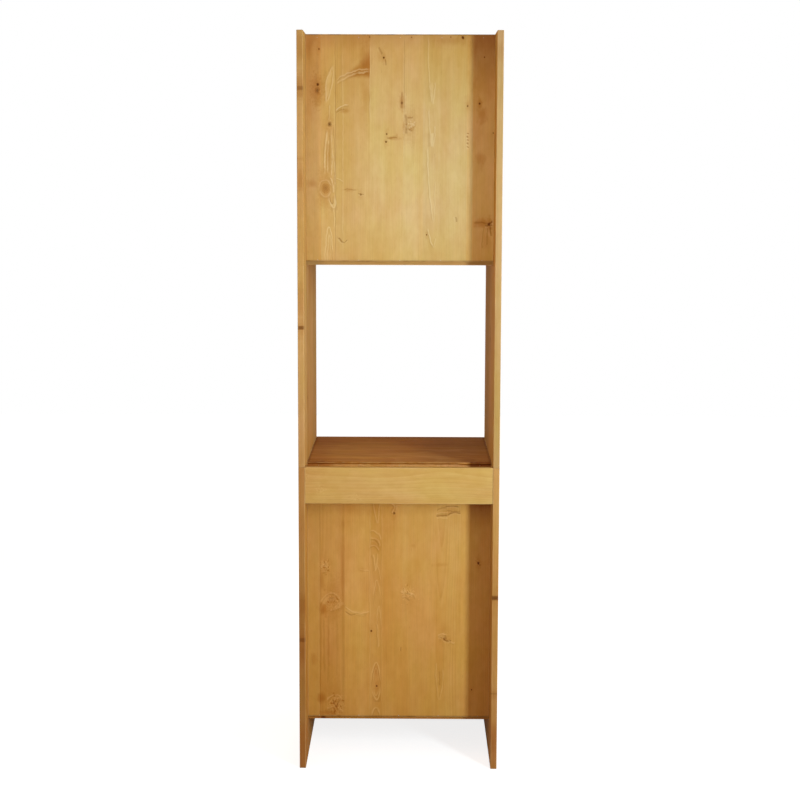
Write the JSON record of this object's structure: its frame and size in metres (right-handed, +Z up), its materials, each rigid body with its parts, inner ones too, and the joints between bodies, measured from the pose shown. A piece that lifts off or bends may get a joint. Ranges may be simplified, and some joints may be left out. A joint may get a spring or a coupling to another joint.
{
  "type": "appliance housing cabinet",
  "caption": "Tall solid-pine housing for a built-in oven: open niche between a lower and an upper cupboard with framed doors, open service void at the rear.",
  "frame": {"origin": "on the floor, centred under the whole object in width and in depth, knobs included", "axes": "+Z up, +Y towards the front with the doors, -Y towards the open rear that the picture shows, +X towards the side that carries the hinges"},
  "size_m": [0.6, 0.628, 2.212],
  "materials": {
    "side_pine": "waxed",
    "board_pine": "waxed",
    "back_pine": "waxed",
    "door_pine": "waxed",
    "door_panel_pine": "waxed",
    "knob_pine": "waxed",
    "dowel_beech": "bare",
    "hinge_brass": "satin",
    "steel": "bright zinc",
    "catch_plastic": "brown"
  },
  "bodies": {
    "cabinet": {"lower_side_left": "side_pine", "lower_side_right": "side_pine", "upper_side_left": "side_pine", "upper_side_right": "side_pine", "lower_bottom_board": "board_pine", "oven_shelf": "board_pine", "rear_rail": "board_pine", "lower_back_panel": "back_pine", "front_plinth": "board_pine", "upper_bottom_board": "board_pine", "upper_top_board": "board_pine", "upper_back_panel": "back_pine", "lower_shelf": "board_pine", "upper_shelf": "board_pine", "lower_shelf_supports": "steel", "upper_shelf_supports": "steel", "lower_carcass_dowels": "dowel_beech", "upper_carcass_dowels": "dowel_beech", "stacking_dowels": "dowel_beech", "lower_back_pins": "steel", "upper_back_pins": "steel", "lower_door_fixed_leaf_bottom": "hinge_brass", "lower_door_fixed_leaf_top": "hinge_brass", "lower_door_hinge_pin_bottom": "hinge_brass", "lower_door_hinge_pin_top": "hinge_brass", "lower_side_hinge_screws": "hinge_brass", "lower_catch_case": "catch_plastic", "lower_catch_magnet": "steel", "lower_catch_screws": "steel", "upper_door_fixed_leaf_bottom": "hinge_brass", "upper_door_fixed_leaf_top": "hinge_brass", "upper_door_hinge_pin_bottom": "hinge_brass", "upper_door_hinge_pin_top": "hinge_brass", "upper_side_hinge_screws": "hinge_brass", "upper_catch_case": "catch_plastic", "upper_catch_magnet": "steel", "upper_catch_screws": "steel"},
    "lower_door": {"lower_door_hinge_stile": "door_pine", "lower_door_lock_stile": "door_pine", "lower_door_top_rail": "door_pine", "lower_door_bottom_rail": "door_pine", "lower_door_panel": "door_panel_pine", "lower_door_moving_leaf_bottom": "hinge_brass", "lower_door_moving_leaf_top": "hinge_brass", "lower_door_hinge_screws": "hinge_brass", "lower_knob": "knob_pine", "lower_knob_screw": "steel", "lower_strike_plate": "steel"},
    "upper_door": {"upper_door_hinge_stile": "door_pine", "upper_door_lock_stile": "door_pine", "upper_door_top_rail": "door_pine", "upper_door_bottom_rail": "door_pine", "upper_door_panel": "door_panel_pine", "upper_door_moving_leaf_bottom": "hinge_brass", "upper_door_moving_leaf_top": "hinge_brass", "upper_door_hinge_screws": "hinge_brass", "upper_knob": "knob_pine", "upper_knob_screw": "steel", "upper_strike_plate": "steel"}
  },
  "joints": [
    {"name": "lower_door_swing", "type": "hinge", "parent": "cabinet", "child": "lower_door", "pos_m": [0.28, 0.2898, 0.5205], "axis": [0, 0, -1], "range_deg": [0, 180]},
    {"name": "upper_door_swing", "type": "hinge", "parent": "cabinet", "child": "upper_door", "pos_m": [0.28, 0.2898, 1.868], "axis": [0, 0, -1], "range_deg": [0, 180]}
  ]
}
